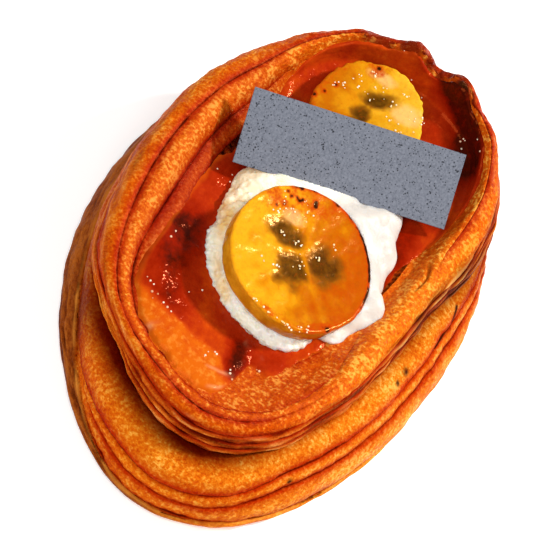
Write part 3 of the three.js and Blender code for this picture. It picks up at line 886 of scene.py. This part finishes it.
def crust_finish():
    finish = Finish("crust", Specular_Tint=colour("#ffb060"))
    satin, lip = finish.mark("satin"), finish.mark("lip")
    finish.set("Specular IOR Level", finish.spread(satin, 0, 1, 0.25, 0.01))
    drawn = (1.2, 0.8, 1)
    ripple = finish.noise(0.8, 3, 0.6, drawn)
    grain = finish.noise(0.4, 3, 0.7)
    patch = finish.noise(5, 3, 0.6)
    bake_and_light = finish.mark("bake_and_light")
    light = finish.weigh((0.5, patch), (0.9, ripple), (0.6, grain), (-0.6, bake_and_light), base=-0.27)
    golds = [(0.1, "#9c3002"), (0.36, "#c24a06"), (0.54, "#d3640a"), (0.72, "#e4861c"), (0.9, "#f6b654")]
    tone = finish.ramp(light, *golds)
    # Pale gold flecks: partly the paler tops of blisters and partly painted glints, more of them on the
    # crust's tops than on its sides.
    glint_fleck = finish.weigh((1.0, finish.noise(0.8, 2, 0.5, drawn)), (0.7, patch), base=-0.36)
    tone = finish.coat(tone, glint_fleck, "#f6b44c", 0.53, 0.66, finish.spread(satin, 0, 1, 0.62, 0.24))
    fibre = finish.weigh((0.8, finish.mark("fibre")), (0.4, grain))
    streak = finish.weigh((0.6, finish.noise(1.6, 4, 0.65, (1, 1, 3))), (0.5, fibre))
    brown = finish.ramp(streak, (0.35, "#3a1203"), (0.55, "#7c340a"), (0.75, "#a8581a"))
    # The wall's side turned from the key light is painted dark brown: partly painted shade, partly
    # browner baking.
    tone = finish.blend(finish.mark("wall"), tone, brown)
    leaf = finish.ramp(fibre, (0.36, "#5e1e05"), (0.54, "#a5420c"), (0.72, "#cc6c1c"), (0.93, "#eab060"))
    tone = finish.blend(finish.mark("thin"), tone, leaf)
    coats = [
        ("edge", "#dc8c34"),
        # The crease coats are painted shade in the creases and the tuck, with the creases' redder baked
        # colour; the under coat is painted shade under the upper tier.
        ("crease", "#ce7361", 0.1, 0.6, 1, "MULTIPLY"),
        ("crease", "#803c30", 0.7, 1, 1, "MULTIPLY"),
        ("under", "#6e3416", 0, 1, 1, "MULTIPLY"),
        ("glaze", "#cc8494", 0, 1, 1, "MULTIPLY"),
        (lip, "#7c1c05", 0.2, 0.6, 0.95),
        (finish.broken("scorch", 0.5, grain), "#381206", 0.1, 0.7),
    ]
    for coat in coats:
        tone = finish.coat(tone, *coat)
    uneven = finish.spread(ripple, 0.3, 0.7, 0.42, 0.24)
    finish.set("Roughness", finish.weigh((-0.16, lip), (1.0, uneven)))
    return finish.done(tone, finish.bump(grain, 0.15, finish.bump(ripple, 0.35)))


# The caramel

def caramel_edge(angle):
    ragged = 0.03 * on_circle(angle, 6, 70) + 0.02 * on_circle(angle, 2.5, 71)
    return around(CARAMEL_EDGE, angle, CARAMEL_TURN) + sum_of_bumps(angle, BARE_SLOPES) + ragged


def on_well(angle, way, lift):
    """Points on the well's surface, raised: way 0 is the crest, 1 the floor's edge and 2 its middle."""
    down, across = np.clip(way, 0, 1), np.clip(way - 1, 0, 1)
    inset, height, _ = layered(inner_curve(angle), INNER_LAYERS, angle, down, INNER_TURN, lift)
    floor_inset, floor_height = floor_crust(angle, across)
    inset = np.where(way < 1, inset, floor_inset)
    return place(angle, inset, np.where(way < 1, height, floor_height + lift))


def ease_floor(top, way):
    """Smooths the pool where the well's slope meets its floor, and takes out any overhang."""
    flat = np.linalg.norm(top[..., :2], axis=-1)
    eased = np.stack([np.minimum.accumulate(flat), top[..., 2]], -1)
    for _ in range(EASING_PASSES):
        eased[1:-1] = (eased[:-2] + 2 * eased[1:-1] + eased[2:]) / 4
    near_floor = smoothstep(way, 0.55, 0.85)
    top[..., :2] *= mix(1, eased[..., 0] / flat, near_floor)[..., None]
    top[..., 2] = mix(top[..., 2], eased[..., 1], near_floor)


def make_caramel():
    angle = bearings(CARAMEL_AROUND)[None]
    share = steps(CARAMEL_ROWS) ** ROW_CROWDING
    way = mix(caramel_edge(angle), 2, share)
    grid = np.broadcast_to(angle, way.shape)
    body = mix(CARAMEL_FILM, CARAMEL_DEPTH, np.sin(share * math.pi / 2))
    dip = BRIM_SUNK * (1 - smoothstep(share, *BRIM_SPAN))
    lift = body * smoothstep(share, *CARAMEL_BRIM) - dip
    top = on_well(grid, way, lift + 0 * way)
    ease_floor(top, way)
    top[..., 2] += noises(top, CARAMEL_WAVES) * smoothstep(share, *CARAMEL_CALM)
    top[..., 2] += noises(top, FAR_WAVES) * smoothstep(top[..., 0], *FAR_SPAN)
    top[..., 2] += lip_crinkle(top, grid) * (1 - smoothstep(way, *CRINKLE_FADES))
    rows = np.concatenate([on_well(grid, way, 0 * way - CARAMEL_SUNK)[::-1], top])
    marks = {}
    for name, values in caramel_marks(top, share).items():
        values = np.clip(values, 0, 1)
        marks[name] = with_poles(np.concatenate([values[::-1], values]), 1, values[-1].mean())
    poles = (0, 0, FLOOR_HEIGHT - CARAMEL_SUNK), (0, 0, FLOOR_HEIGHT + CARAMEL_DEPTH)
    points, faces = with_poles(rows, *poles), closed_faces(len(rows), CARAMEL_AROUND)
    make_piece("caramel_pool", points, faces, caramel_finish(), "caramel", marks)
    return top


def caramel_marks(points, share):
    """How deep its colour is, from amber to nearly black, with painted shade and painted light along
    listed paths; where cream is smeared, where it is thin.
    """
    x, y = points[..., 0], points[..., 1]
    amber_from = np.interp(y, AMBER_EDGE[1], AMBER_EDGE[0]) + 1.6 * noise(points, 4, 84)
    amber = 1 - smoothstep(x, amber_from - 1.5, amber_from + 0.8)
    depth_and_shade = sum(weight * near_path(points, line, width) for line, width, weight in DEEPER_CARAMEL_AND_SHADE)
    return dict(
        deep=0.45 + 0.18 * rough(points, 5, 81) + depth_and_shade - 0.45 * amber,
        smear=near_paths(points, SMEARS) * (0.6 + 0.5 * noise(points, 1, 85)),
        film=(1 - smoothstep(share, 0, 0.07)) * (0.55 + 0.5 * noise(points, 2, 86)) * (x < 30),
    )


def caramel_finish():
    finish = Finish("caramel", Roughness=0.12, Specular_IOR_Level=0.3, Specular_Tint=colour("#ff7838"))
    depth = finish.broken("deep", 0.5, finish.noise(1.8, 5, 0.65))
    reds = [(0.02, "#c65a0a"), (0.25, "#b83f08"), (0.5, "#9c2507"), (0.75, "#821401"), (1, "#3d0a03")]
    tone = finish.ramp(depth, *reds)
    in_amber = finish.spread(depth, 0.1, 0.32, 0.3, 0)
    tone = finish.coat(tone, finish.noise(1.4, 4, 0.6), "#eda03c", 0.5, 0.66, in_amber)
    tone = finish.coat(tone, "film", "#c2500a")
    tone = finish.coat(tone, "smear", "#e0a070", most=0.6)
    broad = finish.bump(finish.noise(2.6, 2), 0.2)
    return finish.done(tone, finish.bump(finish.noise(0.6, 2), 0.07, broad))


def make_beads(name, spots, finish):
    """Small domes of clear syrup: each spot is a middle, a direction and a radius."""
    turn, tilt = np.meshgrid(bearings(BEAD_AROUND), np.linspace(-1.2, 1.2, BEAD_ROWS))
    ball = polar(np.cos(tilt), turn, np.sin(tilt))
    ball = with_poles(ball, (0, 0, -1), (0, 0, 1)) * (1, 1, BEAD_FLATNESS)
    points, faces = [], []
    for middle, away, radius in spots:
        turned = np.array(Vector(away).to_track_quat("Z", "Y").to_matrix())
        start = len(points) * len(ball)
        faces += [[start + i for i in face] for face in closed_faces(BEAD_ROWS, BEAD_AROUND)]
        points.append(radius * ball @ turned.T + np.array(middle))
    make_piece(name, np.concatenate(points), faces, finish, None, {})


def bead_finish(name, code):
    finish = Finish(name, Roughness=0.04, Specular_IOR_Level=0.6)
    # The beads run from their syrup colour to nearly white by noise; the white is painted glint, on top
    # of their real gloss.
    return finish.done(finish.ramp(finish.noise(2, 1), (0.3, code), (0.7, "#fff4dc")))


def scattered(groups, seed, sizes):
    """Places in a plane, scattered about the middle of each group, and their sizes."""
    rng = np.random.default_rng(seed)
    for x, y, count, *scatter in groups:
        for dx, dy in rng.normal(0, 1, (count, 2)) * scatter:
            yield x + dx, y + dy, rng.uniform(*sizes)


def make_caramel_beads(top):
    """Bubbles on the caramel, at places seen from above."""
    flat = top.reshape(-1, 3)
    spots = []
    for x, y, radius in scattered(CARAMEL_BEADS, 7, CARAMEL_BEAD_SIZE):
        at = flat[np.argmin(np.hypot(flat[:, 0] - x, flat[:, 1] - y))]
        spots.append((at, (0, 0, 1), radius))
    make_beads("caramel_beads", spots, bead_finish("caramel_bead", "#d08a5a"))


# The banana slices

def slice_turn(size):
    """From a slice's own frame, with its face centre at the origin, to the part's frame."""
    left_up = Matrix.Rotation(math.radians(size["left_up"]), 3, "X")
    return np.array(left_up @ Matrix.Rotation(math.radians(size["near_up"]), 3, "Y"))


def slice_radius(angle, size, bulge):
    uneven = size["lobe"] * np.cos(3 * angle) + size["lobe"] / 2 * np.cos(5 * angle + 1)
    return size["radius"] * (1 + uneven) + bulge


def slice_rows(angle, rim, thickness):
    """Radii and heights of a slice's rows, from its underside to its middle, and 1 where its face is."""
    down = (np.arange(1, SIDE_ROWS + 1) / SIDE_ROWS)[::-1, None]
    side_r = rim - SIDE_ROUNDING * np.abs(2 * down - 1) ** 4 - SIDE_TAPER * down
    side_z = -SLICE_EDGE - (thickness - 2 * SLICE_EDGE) * down
    curl = steps(EDGE_ROWS) * math.pi / 2
    edge_r = rim - SLICE_EDGE * (1 - np.cos(curl))
    edge_z = -SLICE_EDGE * (1 - np.sin(curl))
    out = 1 - steps(FACE_ROWS)
    face_r = (rim - SLICE_EDGE) * out
    face_z = -SLICE_DISH * (1 - out**2)
    z = np.concatenate([side_z, edge_z, face_z]) + 0 * angle
    on_face = np.concatenate([0 * side_z, np.sin(curl), 1 + 0 * face_z]) + 0 * angle
    return np.concatenate([side_r, edge_r, face_r]), z, on_face


def make_slice(side, size, details, seed):
    angle = bearings(SLICE_AROUND)[None]
    ragged = on_circle(angle, 14, seed) + 0.7 * on_circle(angle, 5, seed + 1)
    rim = slice_radius(angle, size, details["ragged"] * ragged)
    r, z, on_face = slice_rows(angle, rim, size["thickness"])
    grid = angle + 0 * r
    local = polar(r, grid, z)
    seeds = patches(local, details["seeds"], seed + 10) * on_face
    for line in details["pale"]:
        seeds = seeds * (1 - PALE_SHARE * near_path(local[..., :2], line, PALE_WIDTH))
    ray = on_circle(grid, 7, seed + 5) * smoothstep(r / rim, 0.15, 0.6)
    relief = noises(local, SLICE_LUMPS, seed) + RAY_HEIGHT * ray - SEED_DEPTH * seeds
    local = local + row_normals(local) * relief[..., None]
    leftward = local[..., :2] @ FLESH_RUN / size["radius"]
    marks = dict(
        seeds=seeds,
        face=on_face,
        ray=0.5 + 0.5 * ray,
        dew_and_sheen=patches(local, details["dew_and_sheen"], seed + 40) * on_face,
        burnt=scorched_rim(grid, r / rim, local, details, seed + 20) * np.sqrt(on_face),
        left=np.clip(0.5 + leftward / 2, 0, 1),
    )
    for mark, values in marks.items():
        marks[mark] = with_poles(values, values[0].mean(), values[-1].mean())
    local = with_poles(local, (0, 0, -size["thickness"]), (0, 0, local[-1, :, 2].mean()))
    points = local @ slice_turn(size).T + np.array(size["at"])
    faces = closed_faces(len(r), SLICE_AROUND)
    name, flesh = side + "_slice", banana_finish(side + "_banana", details["flesh"])
    make_piece(name, points, faces, flesh, "banana_" + side, marks)
    make_slice_beads(name + "_beads", size, details["beads"], seed)


def make_slice_beads(name, size, beads, seed):
    """Syrup in small domes on a slice's face, at places in the slice's own frame."""
    turned = slice_turn(size)
    spots = []
    for x, y, radius in scattered(beads, seed, SLICE_BEAD_SIZE):
        out_share = min(math.hypot(x, y) / size["radius"], 0.97)
        at = turned @ (x, y, -SLICE_DISH * (1 - out_share**2)) + np.array(size["at"])
        spots.append((at, turned @ (0, 0, 1), radius))
    make_beads(name, spots, bead_finish(name, "#f0c878"))


def patches(local, ovals, seed):
    """1 within ragged ovals on a face, each with a middle, half sizes and a turn."""
    ragged = 0.35 * rough(local, 2.6, seed)
    total = 0
    for x, y, along, across, turn in ovals:
        a = math.radians(turn)
        dx, dy = local[..., 0] - x, local[..., 1] - y
        u = (dx * math.cos(a) + dy * math.sin(a)) / along
        v = (dy * math.cos(a) - dx * math.sin(a)) / across
        total = np.maximum(total, 1 - smoothstep(np.hypot(u, v) + ragged, 0.4, 1.25))
    return total


def scorched_rim(angle, out_share, local, details, seed):
    """Scorching in stretches near a slice's rim, broken into patches, and in spots."""
    total = 0
    for bearing, spread, start, weight in details["burnt"]:
        outward = smoothstep(np.clip(out_share, 0, 1), start, start + 0.6 * (1 - start))
        total = total + weight * bump(angle, bearing, spread) * outward
    total = total * (0.65 + 0.9 * rough(local, 2, seed))
    total = total + sum(near_spot(local[..., :2], (x, y), size) for x, y, size in details["spots"])
    return np.clip(total, 0, 1)


def banana_finish(name, flesh):
    finish = Finish(name, Specular_IOR_Level=0.3, Specular_Tint=colour("#ffb850"), Roughness=0.16)
    finish.soften(0.5, (0.003, 0.0018, 0.0004))
    cloud = finish.noise(5, 3, 0.55)
    left, ray = finish.mark("left"), finish.mark("ray")
    tone = finish.ramp(finish.weigh((1.0, left), (1.0, cloud), (0.15, ray), base=-0.58), *flesh)
    blotch = finish.ramp(finish.noise(3, 3), (0.4, "#b46c0c"), (0.6, "#d8961e"))
    tone = finish.blend(finish.spread(finish.mark("face"), 0, 0.5, 0.7, 0), tone, blotch)
    seeds = finish.broken("seeds", 0.5, finish.noise(1.2, 3))
    burnt = finish.broken("burnt", 0.7, finish.noise(0.7, 3, 0.6))
    coats = [
        # Dew: pale wet patches, partly their paler colour and partly painted sheen.
        ("dew_and_sheen", "#ecc084", 0.1, 0.9, 0.5),
        (seeds, "#7a450a", 0, 0.6, 0.85),
        (seeds, "#341a04", 0.6, 1.1, 0.85),
        (burnt, "#b83c04", 0.05, 0.45, 0.9),
        (burnt, "#2a0a03", 0.5, 0.9),
    ]
    for coat in coats:
        tone = finish.coat(tone, *coat)
    return finish.done(tone, finish.bump(finish.noise(1, 3, 0.6), 0.05))


# The cream

def make_cream():
    angle = bearings(CREAM_AROUND)[None]
    wide = CREAM_RADIUS + sum_of_bumps(angle, CREAM_LOBES)
    side = steps(CREAM_SIDE_ROWS)
    low = mix(CREAM_BOTTOM, CREAM_EDGE_HEIGHT, side)
    rise = np.sin(steps(CREAM_ROWS) * math.pi / 2)
    high = mix(CREAM_EDGE_HEIGHT, CREAM_TOP, rise)
    skirt = cream_ring(angle, wide * mix(0.97, 1, side), 0 * side, low)
    rows = np.concatenate([skirt, cream_ring(angle, wide * np.sqrt(1 - rise**2), rise, high)])
    frayed = facing(angle, FRAYED_BEARING, FRAYED_SPAN)
    lumps = noises(rows, CREAM_LUMPS) + frayed * noises(rows, FRAYED_LUMPS)
    rows = under_card(under_slice(rows + row_normals(rows) * lumps[..., None], FRONT_SLICE))
    stain = near_paths(rows, STAINS) * (0.65 + 0.45 * noise(rows, 2.5, 94))
    key_side_shade = facing(angle, KEY_SIDE_SHADE_BEARING, KEY_SIDE_SHADE_SPAN) + 0 * stain
    marks = dict(stain=with_poles(np.clip(stain, 0, 1), 0, 0), key_side_shade=with_poles(key_side_shade, 0, 0))
    top = CREAM_AT[0] + CREAM_TOP_SHIFT, CREAM_AT[1], rows[-1, :, 2].mean()
    points = with_poles(rows, (*CREAM_AT, CREAM_BOTTOM), top)
    faces = closed_faces(len(rows), CREAM_AROUND)
    make_piece("cream_spoonful", points, faces, cream_finish(), "cream", marks)


def cream_ring(angle, r, rise, height):
    x = CREAM_AT[0] + CREAM_TOP_SHIFT * rise + r * np.cos(angle)
    y = CREAM_AT[1] + r * np.sin(angle)
    return np.stack([x, y, np.broadcast_to(height, x.shape)], -1)


def pressed(points, turn, at, inside, below):
    """Points, of which those inside a tilted piece's edges are pressed down below it."""
    local = (points - at) @ turn
    x, y, z = np.moveaxis(local, -1, 0)
    local[..., 2] = np.where(inside(x, y), np.minimum(z, -below), z)
    return local @ turn.T + at


def under_slice(points, size):
    def inside(x, y):
        return np.hypot(x, y) < slice_radius(np.arctan2(y, x), size, -SLICE_PRESS["margin"])

    return pressed(points, slice_turn(size), np.array(size["at"]), inside, SLICE_PRESS["below"])


def under_card(points):
    def inside(x, y):
        return (np.abs(x) < CARD_LENGTH / 2) & (np.abs(y) < CARD_WIDTH / 2 - CARD_PRESS["margin"])

    return pressed(points, card_turn(), np.array(CARD_AT), inside, CARD_PRESS["below"])


def cream_finish():
    finish = Finish("cream", Roughness=0.4, Specular_IOR_Level=0.3)
    finish.soften(1.0, (0.003, 0.0026, 0.0022))
    tone = finish.ramp(finish.noise(6, 2), (0.3, "#fff0d2"), (0.6, "#fffaec"))
    # Painted shade on the cream's side towards the key light.
    tone = finish.coat(tone, "key_side_shade", "#cfc8c0")
    tone = finish.coat(tone, "stain", "#ecc47e")
    return finish.done(tone, finish.bump(finish.noise(0.7, 3), 0.1))


# The card

def card_turn():
    spin = Matrix.Rotation(math.radians(CARD_TURN - 90), 3, "Z")
    return np.array(spin @ Matrix.Rotation(math.radians(CARD_LEAN), 3, "X"))


def make_card():
    """A thin sheet with softened edges, as rings of its outline from the middle of its underside."""
    t = np.arange(4 * CARD_SIDE_COLUMNS) / CARD_SIDE_COLUMNS
    side = np.floor(t).astype(int)
    s, one = 2 * (t - side) - 1, np.ones(len(t))
    x = np.select([side == 0, side == 1, side == 2], [s, one, -s], -one)
    y = np.select([side == 0, side == 1, side == 2], [-one, s, one], -s)
    below = [(0.25, 0, -1), (0.5, 0, -1), (0.75, 0, -1), (1, CARD_SOFTENING, -1), (1, 0, -0.6)]
    rows = []
    for share, inset, z in below + [(share, inset, -z) for share, inset, z in reversed(below)]:
        half_x, half_y = share * (CARD_LENGTH / 2 - inset), share * (CARD_WIDTH / 2 - inset)
        rows.append(np.stack([x * half_x, y * half_y, z * CARD_THICKNESS / 2 * one], -1))
    poles = (0, 0, -CARD_THICKNESS / 2), (0, 0, CARD_THICKNESS / 2)
    points = with_poles(np.stack(rows), *poles) @ card_turn().T + np.array(CARD_AT)
    faces = closed_faces(len(rows), len(t))
    piece = make_piece("card_sheet", points, faces, card_finish(), "card", {})
    piece.data.polygons.foreach_set("use_smooth", np.zeros(len(piece.data.polygons), bool))


def card_finish():
    finish = Finish("card", Roughness=0.85, Specular_IOR_Level=0.15)
    fibre = finish.noise(0.5, 4, 0.6)
    tone = finish.ramp(fibre, (0.3, "#5a5e69"), (0.7, "#777b86"))
    speck = finish.weigh((-1.0, finish.cells(0.6)), (1.0, finish.noise(1.1, 3)))
    tone = finish.coat(tone, speck, "#1d1f25", 0.25, 0.36, 0.9)
    return finish.done(tone, finish.bump(fibre, 0.05))


# The stage

def make_floor():
    bpy.ops.mesh.primitive_plane_add(size=FLOOR_SIZE)
    floor = bpy.context.object
    floor.name = "floor"
    finish = Finish("floor", Roughness=0.9, Specular_IOR_Level=0.1, Emission_Strength=FLOOR_GLOW)
    finish.set("Emission Color", (1, 1, 1, 1))
    floor.data.materials.append(finish.done(colour("#f4f3f1")))


def make_camera():
    elevation, roll = math.radians(VIEW_ELEVATION), math.radians(VIEW_ROLL)
    level = Vector((0, -1, 0))
    rise = Vector((math.sin(elevation), 0, math.cos(elevation)))
    toward = Vector((-math.cos(elevation), 0, math.sin(elevation)))
    right = math.cos(roll) * level + math.sin(roll) * rise
    up = -math.sin(roll) * level + math.cos(roll) * rise
    target = TARGET_RIGHT * right + TARGET_UP * up + Vector(TARGET_OFFSET)
    camera = bpy.data.objects.new("camera", bpy.data.cameras.new("camera"))
    camera.data.sensor_width = SENSOR_WIDTH
    camera.data.lens = SENSOR_WIDTH * VIEW_DISTANCE / VIEW_WIDTH
    camera.data.clip_end = 50
    turn = Matrix((right, up, toward)).transposed().to_4x4()
    camera.matrix_world = Matrix.Translation((target + VIEW_DISTANCE * toward) * MM) @ turn
    bpy.context.scene.collection.objects.link(camera)
    bpy.context.scene.camera = camera


def add_lamp(name, bearing, elevation, distance, size, power, tint):
    """A round soft light aimed at the pastry from a bearing and an elevation in degrees."""
    lamp = bpy.data.objects.new(name, bpy.data.lights.new(name, "AREA"))
    lamp.data.shape = "DISK"
    lamp.data.size = size
    lamp.data.energy = power
    lamp.data.color = tint
    rise = math.radians(elevation)
    away = Vector(polar(math.cos(rise), math.radians(bearing), math.sin(rise)))
    lamp.location = away * distance
    lamp.rotation_euler = away.to_track_quat("Z", "Y").to_euler()
    bpy.context.scene.collection.objects.link(lamp)


def make_light():
    world = bpy.data.worlds.new("studio")
    world.use_nodes = True
    background = world.node_tree.nodes["Background"]
    background.inputs["Color"].default_value = (1, 1, 1, 1)
    background.inputs["Strength"].default_value = AMBIENT
    bpy.context.scene.world = world
    add_lamp("key", **KEY)
    add_lamp("fill", **FILL)
    bpy.context.scene.view_settings.view_transform = "Standard"


make_pastry()
make_caramel_beads(make_caramel())
make_slice("front", FRONT_SLICE, FRONT_DETAILS, 100)
make_slice("back", BACK_SLICE, BACK_DETAILS, 130)
make_cream()
make_card()
make_floor()
make_camera()
make_light()
